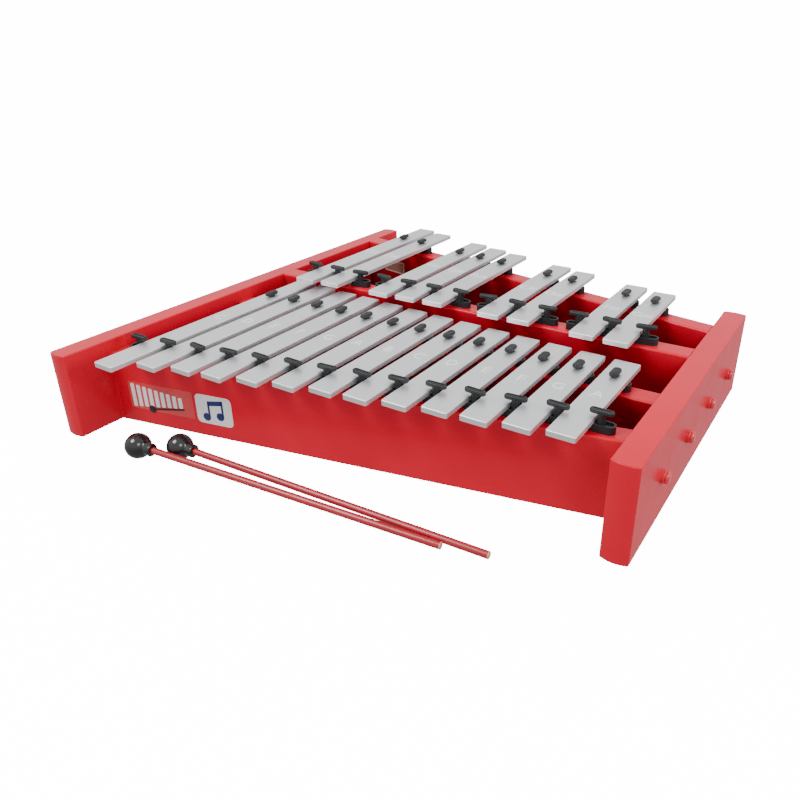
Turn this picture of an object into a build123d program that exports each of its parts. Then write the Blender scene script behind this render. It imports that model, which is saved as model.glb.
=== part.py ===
"""Chromatic alto metallophone: a painted wooden frame, 22 tuned metal bars on rubber posts, two mallets.

Millimetres, +Z up, +X towards the treble end, -Y towards the player.
The origin is under the middle of the instrument, on the surface that it stands on.
"""

from build123d import *
import os
from math import asin, degrees, hypot, sin

os.makedirs("parts", exist_ok=True)

# ---------------------------------------------------------------- driving dimensions
# wooden frame
frame_width = 655.0
board_thickness = 28.0
bass_panel_length = 660.0
treble_panel_length = 419.0
panel_height = 106.0
low_rail_height = 90.0
panel_end_bulge = 3.3
panel_rounding = 1.6
rail_rounding = 2.6
base_thickness = 5.0

# each rail's centre line, at the bass panel and at the treble panel
front_rail_y = (-259.7, -134.1)
natural_rear_rail_y = (-51.0, -46.5)
accidental_front_rail_y = (43.8, 53.3)
rear_rail_y = (260.2, 139.5)

# rubber feet
foot_height = 4.5
foot_diameter = 16.0
foot_inset = 9.0
foot_rounding = 1.4

# fixings of the end panels
screw_diameter = 4.5
screw_head_diameter = 9.0
screw_head_height = 3.0
screw_head_rounding = 1.4
screw_slot_width = 1.2
screw_slot_depth = 1.2
screw_length = 58.0
screw_tip = 5.0
treble_screw_spacing = 88.3
treble_screw_middle = 2.4
screw_point = 0.4
panel_hole_diameter = 5.2
drilled_play = 0.1
cap_diameter = 14.0
cap_height = 7.8
cap_base_height = 3.8
cap_groove = 0.7
cap_edge_radius = 1.0
cap_dome_step = 0.3
cap_dome_edge = 0.2
cap_room = 0.5

# bars: equal in width and thickness, and tuned by their length
bar_pitch = 41.0
bar_width = 30.0
bar_thickness = 6.0
bar_hole_diameter = 9.0
bar_rounding = 1.1
bar_corner_radius = 2.0
shortest_bar = 186.0
semitones_to_double = 25.0
lowest_bar_extra = 13.0
node_fraction = 0.224
top_note = 21
naturals = ["c4", "d4", "e4", "f4", "g4", "a4", "b4", "c5", "d5", "e5", "f5", "g5", "a5"]
natural_steps = [0, 2, 4, 5, 7, 9, 11]
accidentals = {"c": 1, "d": 3, "f": 6, "g": 8, "a": 10}
octave = 12

# rubber posts and pins
pad_height = 8.5
pad_width = 13.0
post_pad_length = 30.0
pin_pad_length = 37.0
pad_rim = 2.0
pad_recess = 2.4
stem_diameter = 8.4
post_head_length = 24.5
post_head_width = 7.6
post_head_height = 4.9
post_head_rounding = 1.6
post_groove_width = 1.6
post_groove_depth = 0.9
post_groove_margin = 3.0
post_head_gap = 3.2
pin_stem_diameter = 7.0
pin_head_length = 20.5
pin_head_width = 9.8
pin_head_height = 4.6
pin_head_rounding = 1.9
pin_head_gap = 1.6
peg_diameter = 6.0
peg_length = 11.0
peg_hole_depth = 12.0
natural_post_twist = 5.0
accidental_post_twist = 9.0
twist_rhythm = 2.4

# mallets, lying on the floor in front: the middle of the head, and the far end of the stick
head_radius = 15.0
collar_radius = 7.6
collar_reach = 22.0
stick_radius = 4.0
stick_into_head = 14.0
stick_end_play = 0.5
collar_rounding = 1.5
stick_end_rounding = 0.5
mallet_places = [((-211.0, -317.9), (169.0, -272.7)), ((-168.9, -293.4), (214.0, -260.6))]

# blank paper label on the inner face of the rear rail
label_length = 46.0
label_height = 20.0
label_thickness = 0.4
label_x = -238.0
label_z = 78.0

# ---------------------------------------------------------------- derived dimensions
floor = foot_height
inner_x = frame_width / 2 - board_thickness
panel_top = floor + panel_height
low_rail_top = floor + low_rail_height
screw_z = floor + panel_height / 2
rails = {
    "front_rail": (front_rail_y, low_rail_top, floor),
    "natural_rear_rail": (natural_rear_rail_y, low_rail_top, floor + base_thickness),
    "accidental_front_rail": (accidental_front_rail_y, panel_top, floor + base_thickness),
    "rear_rail": (rear_rail_y, panel_top, floor),
}
natural_count = len(naturals)
post_x = [(k - natural_count / 2) * bar_pitch for k in range(natural_count + 1)]
natural_x = [(k - (natural_count - 1) / 2) * bar_pitch for k in range(natural_count)]


def rail_y(line, x):
    """Y of a rail's centre line, given at its two ends, at one X."""
    return line[0] + (line[1] - line[0]) * (x + inner_x) / (2 * inner_x)


def screw_y(side):
    """Y of one end panel's screws: on the rails' centres at the bass end, equally spaced at the treble end."""
    if side < 0:
        return [line[0] for line, _, _ in rails.values()]
    return [treble_screw_middle + (k - 1.5) * treble_screw_spacing for k in range(len(rails))]


def note_number(name):
    """Semitones above the lowest bar, for a natural note such as g4."""
    letter, register = name[0], int(name[1])
    return natural_steps["cdefgab".index(letter)] + octave * (register - 4)


def bar_list():
    """Every bar as (node, semitones above the lowest, X, line of its rear rail, height of its underside)."""
    bars = []
    for k, name in enumerate(naturals):
        bars.append(("bar_" + name, note_number(name), natural_x[k], natural_rear_rail_y, low_rail_top))
    for k, name in enumerate(naturals[:-1]):
        if name[0] in accidentals:
            node = "bar_" + name[0] + "_sharp_" + name[1]
            bars.append((node, note_number(name) + 1, post_x[k + 1], rear_rail_y, panel_top))
    return bars


def bar_length(semitones):
    """A bar's length halves about every two octaves, and the lowest bar is a little longer than that."""
    extra = lowest_bar_extra if semitones == 0 else 0.0
    return shortest_bar * 2 ** ((top_note - semitones) / semitones_to_double) + extra


# ---------------------------------------------------------------- wooden frame
def drilled(places, diameter, depth, direction):
    """Round tools along one direction, for cutting drilled holes that start at these places."""
    tools = [Cylinder(diameter / 2, depth, align=(Align.CENTER, Align.CENTER, Align.MIN)) for _ in places]
    return [Plane(origin=place, z_dir=direction) * tool for place, tool in zip(places, tools)]


def end_panel(length, side):
    """Upright end board with slightly rounded ends. side is -1 at the bass end and 1 at the treble end."""
    half = board_thickness / 2
    corner = length / 2
    outline = Wire(
        [
            Line((-half, -corner), (-half, corner)).edge(),
            ThreePointArc((-half, corner), (0, corner + panel_end_bulge), (half, corner)).edge(),
            Line((half, corner), (half, -corner)).edge(),
            ThreePointArc((half, -corner), (0, -corner - panel_end_bulge), (-half, -corner)).edge(),
        ]
    )
    board = Pos(side * (inner_x + half), 0, floor) * extrude(Face(outline), panel_height, dir=(0, 0, 1))
    board = fillet(board.edges(), panel_rounding)
    starts = [(side * (inner_x - 1), y, screw_z) for y in screw_y(side)]
    return board - drilled(starts, panel_hole_diameter, board_thickness + 2, (side, 0, 0))


def peg_places(line, top):
    """Where rubber pegs enter the top of one rail."""
    if line in (front_rail_y, accidental_front_rail_y):
        xs = post_x if line == front_rail_y else natural_x
    else:
        xs = [x for _, _, x, bar_line, _ in bar_list() if bar_line == line]
    return [(x, rail_y(line, x), top) for x in xs]


def rail(line, top, bottom):
    """Board between the end panels, with rounded top edges and holes for pegs and screws."""
    half = board_thickness / 2
    corners = [
        (-inner_x, line[0] - half),
        (inner_x, line[1] - half),
        (inner_x, line[1] + half),
        (-inner_x, line[0] + half),
    ]
    board = Pos(0, 0, bottom) * extrude(make_face(Polyline(*corners, close=True)), top - bottom)
    upper = board.edges().group_by(Axis.Z)[-1]
    board = fillet([edge for edge in upper if edge.length > 2 * board_thickness], rail_rounding)
    pegs = drilled(peg_places(line, top), peg_diameter + drilled_play, peg_hole_depth, (0, 0, -1))
    screws = []
    for side in (-1, 1):
        nearest = min(screw_y(side), key=lambda y: abs(y - rail_y(line, side * inner_x)))
        start = (side * inner_x, nearest, screw_z)
        depth = screw_length - board_thickness + 2
        screws += drilled([start], screw_diameter + drilled_play, depth, (-side, 0, 0))
    return board - pegs - screws


def base_panel():
    """Thin bottom of the sound box, let in between the outer rails and the end panels."""
    half = board_thickness / 2
    corners = [
        (-inner_x, front_rail_y[0] + half),
        (inner_x, front_rail_y[1] + half),
        (inner_x, rear_rail_y[1] - half),
        (-inner_x, rear_rail_y[0] - half),
    ]
    return Pos(0, 0, floor) * extrude(make_face(Polyline(*corners, close=True)), base_thickness)


def inner_label():
    """Blank paper label on the rear rail's inner face."""
    fall = rear_rail_y[1] - rear_rail_y[0]
    slope = degrees(asin(fall / hypot(2 * inner_x, fall)))
    face_y = rail_y(rear_rail_y, label_x) - board_thickness / 2
    plate = Box(label_length, label_thickness, label_height, align=(Align.CENTER, Align.MAX, Align.CENTER))
    return Pos(label_x, face_y, label_z) * Rot(0, 0, slope) * plate


def rubber_feet():
    """Four round feet under the ends of the outer rails."""
    foot = Cylinder(foot_diameter / 2, foot_height, align=(Align.CENTER, Align.CENTER, Align.MIN))
    foot = fillet(foot.edges().group_by(Axis.Z)[0], foot_rounding)
    places = []
    for line in (front_rail_y, rear_rail_y):
        for side in (-1, 1):
            x = side * (inner_x - foot_inset)
            places.append((x, rail_y(line, x), 0))
    return Compound(children=[Pos(*place) * foot for place in places])


def end_screws(side):
    """Four round-headed wood screws through one end panel into the ends of the rails."""
    shank_length = screw_length - screw_tip
    shank = Cylinder(screw_diameter / 2, shank_length, align=(Align.CENTER, Align.CENTER, Align.MAX))
    tip = Cone(screw_diameter / 2, screw_point, screw_tip, rotation=(180, 0, 0),
               align=(Align.CENTER, Align.CENTER, Align.MIN))
    tip = Pos(0, 0, -shank_length) * tip
    head = Cylinder(screw_head_diameter / 2, screw_head_height, align=(Align.CENTER, Align.CENTER, Align.MIN))
    head = fillet(head.edges().group_by(Axis.Z)[-1], screw_head_rounding)
    slot = Pos(0, 0, screw_head_height) * Box(screw_head_diameter + 1, screw_slot_width, 2 * screw_slot_depth)
    screw = shank + tip + head - slot
    face_x = side * frame_width / 2
    planes = [Plane(origin=(face_x, y, screw_z), x_dir=(0, 0, 1), z_dir=(side, 0, 0)) for y in screw_y(side)]
    return Compound(children=[plane * screw for plane in planes])


def screw_cap():
    """Domed cover for a screw head: a rounded base ring, a groove, and a dome, hollow inside."""
    ring = Cylinder(cap_diameter / 2, cap_base_height, align=(Align.CENTER, Align.CENTER, Align.MIN))
    ring = fillet(ring.edges().group_by(Axis.Z)[-1], cap_edge_radius)
    neck = Cylinder(cap_diameter / 2 - cap_edge_radius, cap_base_height + cap_groove + 1,
                    align=(Align.CENTER, Align.CENTER, Align.MIN))
    dome_height = cap_height - cap_base_height - cap_groove
    dome_radius = cap_diameter / 2 - cap_dome_step
    dome = Cylinder(dome_radius, dome_height, align=(Align.CENTER, Align.CENTER, Align.MIN))
    dome = fillet(dome.edges().group_by(Axis.Z)[-1], dome_height - cap_dome_edge)
    hollow = Cylinder(screw_head_diameter / 2 + cap_room, screw_head_height + 2 * cap_room,
                      align=(Align.CENTER, Align.CENTER, Align.MIN))
    return ring + neck + Pos(0, 0, cap_base_height + cap_groove) * dome - hollow


def screw_caps(side):
    """The four domed covers over one end panel's screws."""
    planes = [Plane(origin=(side * frame_width / 2, y, screw_z), z_dir=(side, 0, 0)) for y in screw_y(side)]
    return Compound(children=[plane * screw_cap() for plane in planes])


# ---------------------------------------------------------------- rubber posts and pins
def pad_with_peg(length, stem, stem_top):
    """Rimmed rubber pad that carries the bars, with a round stem above and a peg into the rail below."""
    pad = extrude(SlotOverall(length, pad_width), pad_height)
    recess = extrude(SlotOverall(length - 2 * pad_rim, pad_width - 2 * pad_rim), pad_recess)
    pad -= Pos(0, 0, pad_height - pad_recess) * recess
    pad += Cylinder(stem / 2, stem_top, align=(Align.CENTER, Align.CENTER, Align.MIN))
    pad += Cylinder(peg_diameter / 2, peg_length, align=(Align.CENTER, Align.CENTER, Align.MAX))
    return pad


def t_post():
    """Post between two bars: a pad, a stem and a grooved cross head that reaches over both bars."""
    head_bottom = pad_height + bar_thickness + post_head_gap
    post = pad_with_peg(post_pad_length, stem_diameter, head_bottom + 1)
    head = extrude(SlotOverall(post_head_length, post_head_width), post_head_height)
    head = fillet(head.edges(), post_head_rounding)
    groove_length = post_head_length - 2 * post_groove_margin
    groove = extrude(SlotOverall(groove_length, post_groove_width), post_groove_depth)
    head -= Pos(0, 0, post_head_height - post_groove_depth) * groove
    return post + Pos(0, 0, head_bottom) * head


def bar_pin():
    """Pin through a bar's rear hole: a pad under the bar, a stem and a long rounded head above."""
    head_bottom = pad_height + bar_thickness + pin_head_gap
    pin = pad_with_peg(pin_pad_length, pin_stem_diameter, head_bottom + 1)
    head = extrude(SlotOverall(pin_head_length, pin_head_width), pin_head_height)
    head = fillet(head.edges(), pin_head_rounding)
    return pin + Pos(0, 0, head_bottom) * Rot(0, 0, 90) * head


def rubber_row(piece, line, top, most_twist):
    """The same rubber piece at every peg hole of one rail, each one turned a little differently."""
    row = []
    for k, place in enumerate(peg_places(line, top)):
        twist = most_twist * sin(twist_rhythm * k + top)
        row.append(Pos(*place) * Rot(0, 0, twist) * piece)
    return Compound(children=row)


# ---------------------------------------------------------------- bars
def bar(semitones, x, line, rail_top):
    """Flat metal bar with rounded edges and one hole over its rear nodal line."""
    length = bar_length(semitones)
    hole_from_rear = node_fraction * length
    rear = rail_y(line, x) + hole_from_rear
    plate = extrude(RectangleRounded(bar_width, length, bar_corner_radius), bar_thickness)
    plate = fillet(plate.edges().group_by(Axis.Z)[-1], bar_rounding)
    hole = Pos(0, length / 2 - hole_from_rear, 0) * Cylinder(bar_hole_diameter / 2, 4 * bar_thickness)
    return Pos(x, rear - length / 2, rail_top + pad_height) * (plate - hole)


# ---------------------------------------------------------------- mallets
def mallet_plane(head, tail):
    """Plane at the middle of a mallet's head, with its Z along the stick, for a mallet lying on the floor."""
    start = Vector(head[0], head[1], head_radius)
    end = Vector(tail[0], tail[1], stick_radius)
    return Plane(origin=start, z_dir=end - start), (end - start).length


def mallet_head(head, tail):
    """Ball with a short collar, drilled for the stick."""
    plane, _ = mallet_plane(head, tail)
    collar = Cylinder(collar_radius, collar_reach, align=(Align.CENTER, Align.CENTER, Align.MIN))
    collar = fillet(collar.edges().group_by(Axis.Z)[-1], collar_rounding)
    hole_start = head_radius - stick_into_head
    hole = Pos(0, 0, hole_start) * Cylinder(stick_radius + drilled_play / 2, collar_reach,
                                            align=(Align.CENTER, Align.CENTER, Align.MIN))
    return plane * (Sphere(head_radius) + collar - hole)


def mallet_stick(head, tail):
    """Round wooden stick that runs from inside the head to its free end."""
    plane, reach = mallet_plane(head, tail)
    start = head_radius - stick_into_head + stick_end_play
    stick = Cylinder(stick_radius, reach - start, align=(Align.CENTER, Align.CENTER, Align.MIN))
    stick = fillet(stick.edges().group_by(Axis.Z)[-1], stick_end_rounding)
    return plane * (Pos(0, 0, start) * stick)


# ---------------------------------------------------------------- every sub-part
def make_parts():
    """Every sub-part by its node's name."""
    parts = {
        "bass_end_panel": end_panel(bass_panel_length, -1),
        "treble_end_panel": end_panel(treble_panel_length, 1),
        "base_panel": base_panel(),
        "inner_label": inner_label(),
        "rubber_feet": rubber_feet(),
        "bass_end_screws": end_screws(-1),
        "treble_end_screws": end_screws(1),
        "bass_screw_caps": screw_caps(-1),
        "treble_screw_caps": screw_caps(1),
        "natural_posts": rubber_row(t_post(), front_rail_y, low_rail_top, natural_post_twist),
        "accidental_posts": rubber_row(t_post(), accidental_front_rail_y, panel_top, accidental_post_twist),
        "natural_pins": rubber_row(bar_pin(), natural_rear_rail_y, low_rail_top, 0),
        "accidental_pins": rubber_row(bar_pin(), rear_rail_y, panel_top, 0),
    }
    for node, (line, top, bottom) in rails.items():
        parts[node] = rail(line, top, bottom)
    for node, semitones, x, line, rail_top in bar_list():
        parts[node] = bar(semitones, x, line, rail_top)
    for k, (head, tail) in enumerate(mallet_places, start=1):
        parts[f"mallet_{k}_head"] = mallet_head(head, tail)
        parts[f"mallet_{k}_stick"] = mallet_stick(head, tail)
    return parts


for node, shape in make_parts().items():
    export_step(shape, f"parts/{node}.step")
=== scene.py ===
"""Looks of the chromatic alto metallophone: materials, front emblem, note names, floor, light and camera.

Metres, in the CAD model's own frame: +Z up, +X towards the treble end, -Y towards the player.
"""

from math import atan2, cos, pi, radians, sin

import bmesh
import bpy
from mathutils import Matrix, Vector


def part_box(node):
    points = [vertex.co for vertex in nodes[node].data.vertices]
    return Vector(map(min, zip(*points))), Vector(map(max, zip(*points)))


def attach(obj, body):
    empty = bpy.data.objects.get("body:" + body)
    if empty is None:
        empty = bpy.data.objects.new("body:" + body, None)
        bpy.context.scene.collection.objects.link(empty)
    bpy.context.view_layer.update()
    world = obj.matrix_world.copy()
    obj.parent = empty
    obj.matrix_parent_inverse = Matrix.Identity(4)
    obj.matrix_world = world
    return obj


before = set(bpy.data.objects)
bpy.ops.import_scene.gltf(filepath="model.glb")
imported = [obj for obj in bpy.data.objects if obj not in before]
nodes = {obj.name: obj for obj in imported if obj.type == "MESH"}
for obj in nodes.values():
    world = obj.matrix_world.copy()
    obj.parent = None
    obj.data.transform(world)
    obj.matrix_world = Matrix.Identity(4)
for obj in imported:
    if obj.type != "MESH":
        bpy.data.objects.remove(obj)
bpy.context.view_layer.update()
mm = 0.001

# camera, as it stood when the instrument was photographed
camera_place = (0.4558, -0.7348, 0.4430)
camera_yaw = radians(33.031)
camera_pitch = radians(25.622)
camera_roll = radians(-0.544)
camera_lens = 32.545
camera_shift = (-0.0343, -0.0311)

# studio light
ceiling_light = 1.15
floor_light = 0.5
floor_glow = 14.0

# emblem on the front rail's outer face, in thin layers
emblem_thickness = 0.25 * mm
emblem_gap = 0.02 * mm

# note names on the bars
note_size = 20 * mm
note_height = 0.2 * mm


# ---------------------------------------------------------------- node helpers
class Look:
    """A procedural material around one Principled shader."""

    def __init__(self, name, **constants):
        self.material = bpy.data.materials.new(name)
        self.material.use_nodes = True
        self.tree = self.material.node_tree
        self.shader = self.tree.nodes["Principled BSDF"]
        for socket, value in constants.items():
            self.shader.inputs[socket.replace("_", " ")].default_value = value

    def add(self, kind, inputs=None, output=0, **settings):
        """Adds a node, sets or links its inputs, and returns one of its outputs."""
        made = self.tree.nodes.new("ShaderNode" + kind)
        for setting, value in settings.items():
            setattr(made, setting, value)
        for socket, value in (inputs or {}).items():
            if isinstance(value, bpy.types.NodeSocket):
                self.tree.links.new(value, made.inputs[socket])
            else:
                made.inputs[socket].default_value = value
        return made.outputs[output]

    def place(self, stretch=(1, 1, 1), turn=(0, 0, 0)):
        """The point on the object, turned and stretched."""
        point = self.add("TexCoord", output="Object")
        return self.add("Mapping", {"Vector": point, "Rotation": turn, "Scale": stretch})

    def noise(self, scale, detail=2.0, stretch=(1, 1, 1), turn=(0, 0, 0)):
        """Noise from 0 to 1, with this many cells a metre."""
        where = self.place(stretch, turn)
        return self.add("TexNoise", {"Vector": where, "Scale": scale, "Detail": detail})

    def spread(self, value, low, high, start=0.3, end=0.7):
        """Maps a value between start and end to low and high, and holds it there outside."""
        limits = {"Value": value, "From Min": start, "From Max": end, "To Min": low, "To Max": high}
        return self.add("MapRange", limits)

    def sum(self, a, b, operation="ADD"):
        return self.add("Math", {0: a, 1: b}, operation=operation)

    def blend(self, amount, first, second):
        """A colour between two colours."""
        mix = self.tree.nodes.new("ShaderNodeMix")
        mix.data_type = "RGBA"
        for socket, value in ((0, amount), (6, first), (7, second)):
            if isinstance(value, bpy.types.NodeSocket):
                self.tree.links.new(value, mix.inputs[socket])
            elif socket == 0:
                mix.inputs[socket].default_value = value
            else:
                mix.inputs[socket].default_value = (*value, 1)
        return mix.outputs[2]

    def edges(self, reach):
        """1 along outer edges, fading to 0 at this distance from them."""
        rounded = self.add("Bevel", {"Radius": reach}, samples=6)
        flat = self.add("NewGeometry", output="True Normal")
        match = self.add("VectorMath", {0: rounded, 1: flat}, output="Value", operation="DOT_PRODUCT")
        return self.spread(match, 1.0, 0.0, 0.82, 0.985)

    def finish(self, colour=None, roughness=None, height=None, strength=0.2, depth=0.0003):
        """Links what was made to the shader."""
        if colour is not None:
            self.tree.links.new(colour, self.shader.inputs["Base Color"])
        if roughness is not None:
            self.tree.links.new(roughness, self.shader.inputs["Roughness"])
        if height is not None:
            bump = self.add("Bump", {"Height": height, "Strength": strength, "Distance": depth})
            self.tree.links.new(bump, self.shader.inputs["Normal"])
        return self.material


# ---------------------------------------------------------------- materials
def painted_wood(name, grain, light, dark, wear_and_highlight, painted_shade=None, inward=0):
    """Glossy paint over a board whose grain runs along one axis, lighter in patches along its edges: edge wear
    together with painted highlight.

    The optional darker colour is painted shade, laid low down inside the sound box on faces that don't face up.
    inward is 0 for a board with both its sides inside, or -1 where only its side towards -Y is.
    """
    look = Look(name, Coat_Weight=0.16, Coat_Roughness=0.10, Specular_IOR_Level=0.2)
    cloud = look.noise(9, 3)
    speck = look.noise(260, 2)
    fibres = look.noise(300, 3, grain)
    edge = look.edges(1.6 * mm)
    # Edge wear and painted highlight: a lighter colour in patches along the edges.
    edge_wear_and_highlight = look.sum(edge, look.spread(look.noise(70, 3), 0.15, 0.8), "MULTIPLY")
    base = look.blend(look.spread(cloud, 0, 1), light, dark)
    base = look.blend(look.spread(speck, 0, 0.18), base, dark)
    # Painted shade: a darker colour low down on the inner faces, fading out towards the tops and on faces that
    # face up.
    if painted_shade is not None:
        split = look.tree.nodes.new("ShaderNodeSeparateXYZ")
        look.tree.links.new(look.add("TexCoord", output="Object"), split.inputs[0])
        height = look.sum(split.outputs["Z"], look.spread(look.noise(12, 2), -0.006, 0.006))
        shade = look.spread(height, 1.0, 0.0, 0.078, 0.118)
        facing = look.tree.nodes.new("ShaderNodeSeparateXYZ")
        look.tree.links.new(look.add("TexCoord", output="Normal"), facing.inputs[0])
        shade = look.sum(shade, look.spread(facing.outputs["Z"], 1.0, 0.0, 0.3, 0.8), "MULTIPLY")
        if inward:
            shade = look.sum(shade, look.spread(facing.outputs["Y"], 1.0, 0.0, -0.9, -0.4), "MULTIPLY")
        base = look.blend(shade, base, painted_shade)
    base = look.blend(edge_wear_and_highlight, base, wear_and_highlight)
    gloss = look.spread(look.noise(24, 4), 0.29, 0.37)
    peel = look.noise(520, 1)
    height = look.sum(look.sum(fibres, 0.55, "MULTIPLY"), look.sum(peel, 0.45, "MULTIPLY"))
    return look.finish(base, gloss, height, 0.05, 0.00015)


def bar_metal():
    """Satin aluminium, brushed along the bar, with a painted highlight: its edges blend to white."""
    look = Look("satin_aluminium", Metallic=0.85, Specular_IOR_Level=0.5)
    brushed = look.noise(1500, 3, (1, 0.03, 1))
    cloud = look.noise(14, 3)
    edge = look.edges(1.3 * mm)
    base = look.blend(look.spread(cloud, 0, 1), (0.84, 0.85, 0.87), (0.78, 0.79, 0.81))
    base = look.blend(look.spread(brushed, 0, 0.35), base, (0.68, 0.69, 0.71))
    # Painted highlight: the edges blend to white, for the bright lines that light draws along them.
    base = look.blend(edge, base, (1.0, 1.0, 1.0))
    gloss = look.sum(look.spread(brushed, 0.0, 0.10), look.spread(cloud, 0.36, 0.44))
    return look.finish(base, gloss, brushed, 0.10, 0.0001)


def moulded_rubber(name, light, dark):
    """Matt black rubber with a fine moulded grain, a little lighter grey along its edges."""
    look = Look(name, Specular_IOR_Level=0.4)
    cloud = look.noise(60, 3)
    grain = look.noise(1400, 2)
    edge = look.edges(0.8 * mm)
    base = look.blend(look.spread(cloud, 0, 1), light, dark)
    base = look.blend(look.sum(edge, 0.3, "MULTIPLY"), base, (0.05, 0.054, 0.055))
    gloss = look.spread(cloud, 0.42, 0.62)
    return look.finish(base, gloss, grain, 0.25, 0.0002)


def glossy_plastic(name, light, dark, low=0.1, high=0.22):
    """Polished moulded plastic with faint flow marks."""
    look = Look(name, Specular_IOR_Level=0.55, Coat_Weight=0.2, Coat_Roughness=0.06)
    cloud = look.noise(45, 3)
    fine = look.noise(700, 2)
    base = look.blend(look.spread(cloud, 0, 1), light, dark)
    gloss = look.spread(fine, low, high)
    return look.finish(base, gloss, cloud, 0.06, 0.0003)


def screw_steel():
    """Zinc-plated steel, turned, with a faint yellow cast in places."""
    look = Look("screw_steel", Metallic=1.0)
    turned = look.noise(2600, 2, (1, 0.05, 0.05))
    cloud = look.noise(180, 3)
    base = look.blend(look.spread(cloud, 0, 1), (0.62, 0.62, 0.60), (0.55, 0.52, 0.44))
    return look.finish(base, look.spread(turned, 0.25, 0.42), turned, 0.2, 0.0001)


def label_paper():
    """Aged tan paper with a paler unprinted border."""
    look = Look("label_paper", Specular_IOR_Level=0.3)
    low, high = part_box("inner_label")
    border = 2.2 * mm
    point = look.add("TexCoord", output="Object")
    inside = None
    for axis, letter in ((0, "X"), (2, "Z")):
        split = look.tree.nodes.new("ShaderNodeSeparateXYZ")
        look.tree.links.new(point, split.inputs[0])
        middle = (low[axis] + high[axis]) / 2
        reach = (high[axis] - low[axis]) / 2 - border
        offset = look.sum(split.outputs[letter], middle, "SUBTRACT")
        away = look.add("Math", {0: offset}, operation="ABSOLUTE")
        within = look.spread(away, 1.0, 0.0, reach, reach + 0.3 * mm)
        inside = within if inside is None else look.sum(inside, within, "MULTIPLY")
    fibre = look.noise(900, 4)
    tan = look.blend(look.spread(fibre, 0, 1), (0.24, 0.11, 0.08), (0.18, 0.08, 0.06))
    pale = look.blend(look.spread(fibre, 0, 1), (0.50, 0.32, 0.28), (0.42, 0.26, 0.23))
    return look.finish(look.blend(inside, pale, tan), look.spread(fibre, 0.55, 0.75), fibre, 0.2, 0.0001)


def lacquered_stick(name, node):
    """Red lacquer on a thin wooden stick, with bare end grain on the cut face at its free end."""
    look = Look(name, Coat_Weight=0.3, Coat_Roughness=0.15)
    low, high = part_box(node)
    run = Vector((high.x - low.x, high.y - low.y, 0))
    turn = atan2(run.y, run.x)
    fibres = look.noise(900, 3, (0.03, 1, 1), (0, 0, -turn))
    cloud = look.noise(20, 3)
    base = look.blend(look.spread(cloud, 0, 1), (0.44, 0.006, 0.018), (0.34, 0.004, 0.012))
    base = look.blend(look.spread(fibres, 0, 0.3), base, (0.24, 0.003, 0.008))
    split = look.tree.nodes.new("ShaderNodeSeparateXYZ")
    look.tree.links.new(look.add("TexCoord", output="Object"), split.inputs[0])
    cut = look.spread(split.outputs["X"], 0, 1, high.x - 1.3 * mm, high.x - 1.1 * mm)
    rings = look.noise(2200, 2)
    bare = look.blend(look.spread(rings, 0, 1), (0.60, 0.36, 0.20), (0.48, 0.27, 0.14))
    gloss = look.spread(cloud, 0.25, 0.38)
    return look.finish(look.blend(cut, base, bare), gloss, fibres, 0.15, 0.0002)


def dress(node, material):
    """Gives a CAD node its material, through its object's slots."""
    for slot in nodes[node].material_slots:
        slot.link = "OBJECT"
        slot.material = material


# The third colour of each set, here and for the base, is edge wear together with painted highlight.
red_light, red_dark, red_wear_and_highlight = (0.70, 0.002, 0.026), (0.60, 0.002, 0.020), (0.88, 0.075, 0.10)
# Painted shade colour for the lower inside of the sound box.
red_painted_shade = (0.20, 0.001, 0.008)
paint_along_y = painted_wood("red_paint_ends", (1, 0.03, 1), red_light, red_dark, red_wear_and_highlight)
paint_along_x = painted_wood("red_paint_rails", (0.03, 1, 1), red_light, red_dark, red_wear_and_highlight)
# These two paints carry the painted shade low down inside the box.
paint_inside = painted_wood("red_paint_inside", (0.03, 1, 1), red_light, red_dark, red_wear_and_highlight, red_painted_shade)
paint_rear = painted_wood("red_paint_rear", (0.03, 1, 1), red_light, red_dark, red_wear_and_highlight, red_painted_shade, -1)
base_light, base_dark, base_wear_and_highlight = (0.16, 0.002, 0.006), (0.11, 0.001, 0.004), (0.3, 0.02, 0.02)
paint_base = painted_wood("red_paint_base", (0.03, 1, 1), base_light, base_dark, base_wear_and_highlight)
cap_plastic = glossy_plastic("red_plastic", (0.72, 0.010, 0.030), (0.60, 0.006, 0.022))
head_plastic = glossy_plastic("black_plastic", (0.010, 0.010, 0.011), (0.006, 0.006, 0.007), 0.08, 0.16)
post_rubber = moulded_rubber("post_rubber", (0.014, 0.016, 0.017), (0.008, 0.009, 0.010))
foot_rubber = moulded_rubber("foot_rubber", (0.022, 0.022, 0.022), (0.014, 0.014, 0.014))
aluminium = bar_metal()
steel = screw_steel()

bar_nodes = [name for name in nodes if name.startswith("bar_")]
for name in bar_nodes:
    dress(name, aluminium)
for name in ("bass_end_panel", "treble_end_panel"):
    dress(name, paint_along_y)
dress("front_rail", paint_along_x)
dress("rear_rail", paint_rear)
for name in ("natural_rear_rail", "accidental_front_rail"):
    dress(name, paint_inside)
for name in ("natural_posts", "accidental_posts", "natural_pins", "accidental_pins"):
    dress(name, post_rubber)
for name in ("bass_end_screws", "treble_end_screws"):
    dress(name, steel)
for name in ("bass_screw_caps", "treble_screw_caps"):
    dress(name, cap_plastic)
for name in ("mallet_1_head", "mallet_2_head"):
    dress(name, head_plastic)
for name in ("mallet_1_stick", "mallet_2_stick"):
    dress(name, lacquered_stick("lacquer_" + name, name))
dress("base_panel", paint_base)
dress("rubber_feet", foot_rubber)
dress("inner_label", label_paper())


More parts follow.
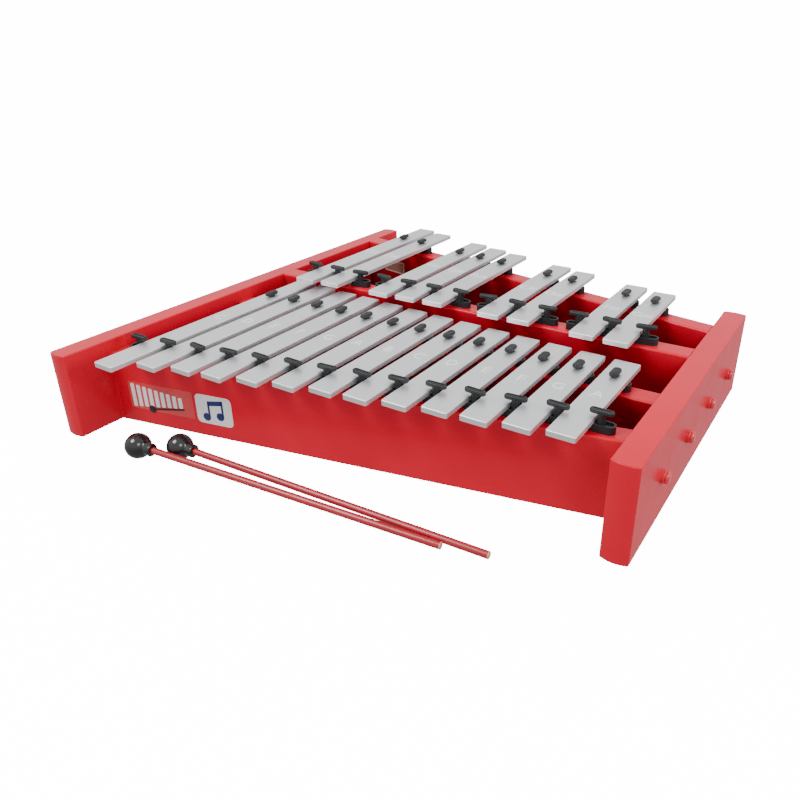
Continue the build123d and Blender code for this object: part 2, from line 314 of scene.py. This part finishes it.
# ---------------------------------------------------------------- added pieces
def mesh_piece(name, faces_in_plane, thickness, frame_matrix, material, body):
    """A thin flat piece: outlines in a plane, given depth, and placed by a matrix."""
    work = bmesh.new()
    for outline in faces_in_plane:
        corners = [work.verts.new((x, y, 0)) for x, y in outline]
        work.faces.new(corners)
    made = bmesh.ops.extrude_face_region(work, geom=work.faces[:])
    raised = [item for item in made["geom"] if isinstance(item, bmesh.types.BMVert)]
    bmesh.ops.translate(work, verts=raised, vec=(0, 0, thickness))
    bmesh.ops.recalc_face_normals(work, faces=work.faces[:])
    mesh = bpy.data.meshes.new(name)
    work.to_mesh(mesh)
    work.free()
    mesh.transform(frame_matrix)
    piece = bpy.data.objects.new(name, mesh)
    bpy.context.scene.collection.objects.link(piece)
    mesh.materials.append(material)
    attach(piece, body)
    return piece


def rounded_box(x0, y0, x1, y1, radius, steps=6):
    """Outline of a rectangle with rounded corners."""
    points = []
    corners = ((x1 - radius, y0 + radius, -90), (x1 - radius, y1 - radius, 0),
               (x0 + radius, y1 - radius, 90), (x0 + radius, y0 + radius, 180))
    for x, y, start in corners:
        for k in range(steps + 1):
            angle = radians(start + 90 * k / steps)
            points.append((x + radius * cos(angle), y + radius * sin(angle)))
    return points


def thick_line(a, b, width, steps=6):
    """Outline of a straight stroke with round ends."""
    along = atan2(b[1] - a[1], b[0] - a[0])
    points = []
    for (x, y), start in ((a, along + pi / 2), (b, along - pi / 2)):
        for k in range(steps + 1):
            angle = start + pi * k / steps
            points.append((x + width / 2 * cos(angle), y + width / 2 * sin(angle)))
    return points


def disc(x, y, radius, steps=32):
    """Outline of a circle."""
    angles = [2 * pi * k / steps for k in range(steps)]
    return [(x + radius * cos(angle), y + radius * sin(angle)) for angle in angles]


def foil(name, colour, shade):
    """Printed foil: an even ink with slight mottling."""
    look = Look(name, Specular_IOR_Level=0.5)
    fibre = look.noise(320, 3)
    ink = look.blend(look.spread(fibre, 0, 1), colour, shade)
    return look.finish(ink, look.spread(fibre, 0.3, 0.45), fibre, 0.05, 0.0001)


def front_face():
    """Places a drawing's X and Y on the front rail's outer face: X along it, Y up, Z out towards the player."""
    points = [vertex.co for vertex in nodes["front_rail"].data.vertices]
    low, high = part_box("front_rail")
    left = min((p for p in points if p.x < low.x + 0.1 * mm), key=lambda p: p.y)
    right = min((p for p in points if p.x > high.x - 0.1 * mm), key=lambda p: p.y)
    along = Vector((right.x - left.x, right.y - left.y, 0)).normalized()
    up = Vector((0, 0, 1))
    out = along.cross(up)
    origin = Vector((left.x, left.y, 0)) + out * emblem_gap
    return Matrix((
        (along.x, up.x, out.x, origin.x),
        (along.y, up.y, out.y, origin.y),
        (along.z, up.z, out.z, origin.z),
        (0, 0, 0, 1),
    ))


def emblem():
    """A plain picture of graded bars and a mallet, beside a pair of joined notes on a badge."""
    face = front_face()
    white = foil("emblem_white", (0.80, 0.79, 0.80), (0.72, 0.71, 0.72))
    navy = foil("emblem_navy", (0.020, 0.030, 0.14), (0.014, 0.022, 0.11))
    black = foil("emblem_black", (0.010, 0.008, 0.008), (0.016, 0.012, 0.012))
    film = foil("emblem_film", (0.62, 0.055, 0.060), (0.58, 0.045, 0.050))
    out = face.to_3x3() @ Vector((0, 0, emblem_thickness))
    layers = [Matrix.Translation(out * k) @ face for k in range(3)]
    backing = rounded_box(18 * mm, 24 * mm, 112 * mm, 60 * mm, 2 * mm)
    mesh_piece("emblem_film", [backing], emblem_thickness, layers[0], film, "instrument_frame")
    bars = []
    for k in range(9):
        left = (22 + 8.6 * k) * mm
        half = (15.5 - 1.05 * k) * mm
        bars.append(rounded_box(left, 42 * mm - half, left + 5.4 * mm, 42 * mm + half, 1.2 * mm))
    mesh_piece("emblem_bars", bars, emblem_thickness, layers[1], white, "instrument_frame")
    stroke = [thick_line((52 * mm, 27 * mm), (97 * mm, 34 * mm), 2.2 * mm), disc(50 * mm, 26.7 * mm, 5 * mm)]
    mesh_piece("emblem_mallet", stroke, emblem_thickness, layers[2], black, "instrument_frame")
    badge = rounded_box(116 * mm, 22 * mm, 166 * mm, 60 * mm, 6 * mm)
    mesh_piece("emblem_badge", [badge], emblem_thickness, layers[0], white, "instrument_frame")
    notes = [
        disc(130 * mm, 31 * mm, 5.2 * mm),
        disc(149 * mm, 34 * mm, 5.2 * mm),
        rounded_box(132.6 * mm, 31 * mm, 135.2 * mm, 52 * mm, 0.8 * mm),
        rounded_box(151.6 * mm, 34 * mm, 154.2 * mm, 55 * mm, 0.8 * mm),
        [(132.6 * mm, 46 * mm), (154.2 * mm, 49.4 * mm), (154.2 * mm, 55.4 * mm), (132.6 * mm, 52 * mm)],
    ]
    mesh_piece("emblem_notes", notes, emblem_thickness, layers[1], navy, "instrument_frame")


def note_names():
    """The note's letter, standing a little proud in the middle of each bar's top, coloured near white as a
    painted highlight.
    """
    # Painted highlight: the letters are near white so that they read as bright strokes of light on the bar.
    look = Look("note_metal", Metallic=0.35, Specular_IOR_Level=0.8)
    burr = look.noise(900, 2)
    pale = look.blend(look.spread(burr, 0, 1), (1.0, 1.0, 1.0), (0.92, 0.93, 0.94))
    painted_highlight_metal = look.finish(pale, look.spread(burr, 0.22, 0.4), burr, 0.1, 0.0001)
    for name in bar_nodes:
        low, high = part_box(name)
        words = name.split("_")
        text = bpy.data.curves.new("note_" + name, "FONT")
        text.body = words[1][0].upper() + ("#" if "sharp" in words else "")
        text.size = note_size
        text.align_x = "CENTER"
        text.align_y = "CENTER"
        text.extrude = note_height / 2
        text.offset = -0.1 * mm
        text.materials.append(painted_highlight_metal)
        piece = bpy.data.objects.new("note_" + name, text)
        piece.location = ((low.x + high.x) / 2, (low.y + high.y) / 2, high.z + note_height / 2)
        bpy.context.scene.collection.objects.link(piece)
        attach(piece, name + "_body")


emblem()
note_names()


# ---------------------------------------------------------------- stage
def floor_bowl():
    """A pale floor that curves up into a backdrop all the way round."""
    profile = [(0.0, 0.0), (0.6, 0.0), (1.5, 0.0), (3.0, 0.0)]
    bend = 1.2
    for k in range(1, 13):
        angle = radians(90 * k / 12)
        profile.append((3.0 + bend * sin(angle), bend - bend * cos(angle)))
    profile.append((3.0 + bend, 2.6))
    sides = 96
    work = bmesh.new()
    centre = work.verts.new((0, 0, 0))
    rings = []
    for radius, height in profile[1:]:
        rings.append([work.verts.new((x, y, height)) for x, y in disc(0, 0, radius, sides)])
    for k in range(sides):
        work.faces.new((centre, rings[0][k], rings[0][(k + 1) % sides]))
    for inner, outer in zip(rings, rings[1:]):
        for k in range(sides):
            work.faces.new((inner[k], outer[k], outer[(k + 1) % sides], inner[(k + 1) % sides]))
    mesh = bpy.data.meshes.new("floor")
    work.to_mesh(mesh)
    work.free()
    mesh.shade_smooth()
    look = Look("pale_floor", Emission_Color=(1, 1, 1, 1), Emission_Strength=floor_glow)
    mottle = look.noise(3, 2)
    pale = look.blend(mottle, (0.88, 0.88, 0.88), (0.86, 0.86, 0.86))
    mesh.materials.append(look.finish(pale, look.spread(mottle, 0.75, 0.8)))
    floor = bpy.data.objects.new("floor", mesh)
    floor.visible_diffuse = False
    floor.visible_glossy = False
    bpy.context.scene.collection.objects.link(floor)


def soft_light(name, place, target, size, watts):
    """A square studio softbox that faces the instrument."""
    light = bpy.data.lights.new(name, "AREA")
    light.size = size
    light.energy = watts
    lamp = bpy.data.objects.new(name, light)
    lamp.location = place
    lamp.rotation_euler = (Vector(target) - Vector(place)).to_track_quat("-Z", "Y").to_euler()
    bpy.context.scene.collection.objects.link(lamp)


def sky():
    """White light from all round, stronger from the ceiling than from the floor."""
    world = bpy.data.worlds.new("studio")
    world.use_nodes = True
    tree = world.node_tree
    background = tree.nodes["Background"]
    background.inputs["Color"].default_value = (1, 1, 1, 1)
    direction = tree.nodes.new("ShaderNodeTexCoord").outputs["Generated"]
    split = tree.nodes.new("ShaderNodeSeparateXYZ")
    fade = tree.nodes.new("ShaderNodeMapRange")
    fade.inputs["From Min"].default_value = -0.25
    fade.inputs["From Max"].default_value = 0.35
    fade.inputs["To Min"].default_value = floor_light
    fade.inputs["To Max"].default_value = ceiling_light
    tree.links.new(direction, split.inputs[0])
    tree.links.new(split.outputs["Z"], fade.inputs["Value"])
    tree.links.new(fade.outputs[0], background.inputs["Strength"])
    bpy.context.scene.world = world


def camera():
    """The photographer's camera."""
    across = Vector((cos(camera_yaw), sin(camera_yaw), 0))
    level = Vector((-sin(camera_yaw), cos(camera_yaw), 0))
    up = Vector((0, 0, 1))
    ahead = level * cos(camera_pitch) - up * sin(camera_pitch)
    above = level * sin(camera_pitch) + up * cos(camera_pitch)
    right = across * cos(camera_roll) + above * sin(camera_roll)
    top = above * cos(camera_roll) - across * sin(camera_roll)
    data = bpy.data.cameras.new("camera")
    data.lens = camera_lens
    data.shift_x, data.shift_y = camera_shift
    data.clip_start = 0.02
    eye = bpy.data.objects.new("camera", data)
    turn = Matrix((right, top, -ahead)).transposed().to_4x4()
    eye.matrix_world = Matrix.Translation(camera_place) @ turn
    bpy.context.scene.collection.objects.link(eye)
    bpy.context.scene.camera = eye


floor_bowl()
sky()
soft_light("key", (-1.0, -1.5, 2.2), (0, 0, 0.05), 1.1, 55)
soft_light("fill", (1.6, -1.2, 1.6), (0, 0, 0.05), 0.9, 14)
soft_light("side", (2.3, 0.5, 0.9), (0.33, 0, 0.05), 0.9, 26)
camera()
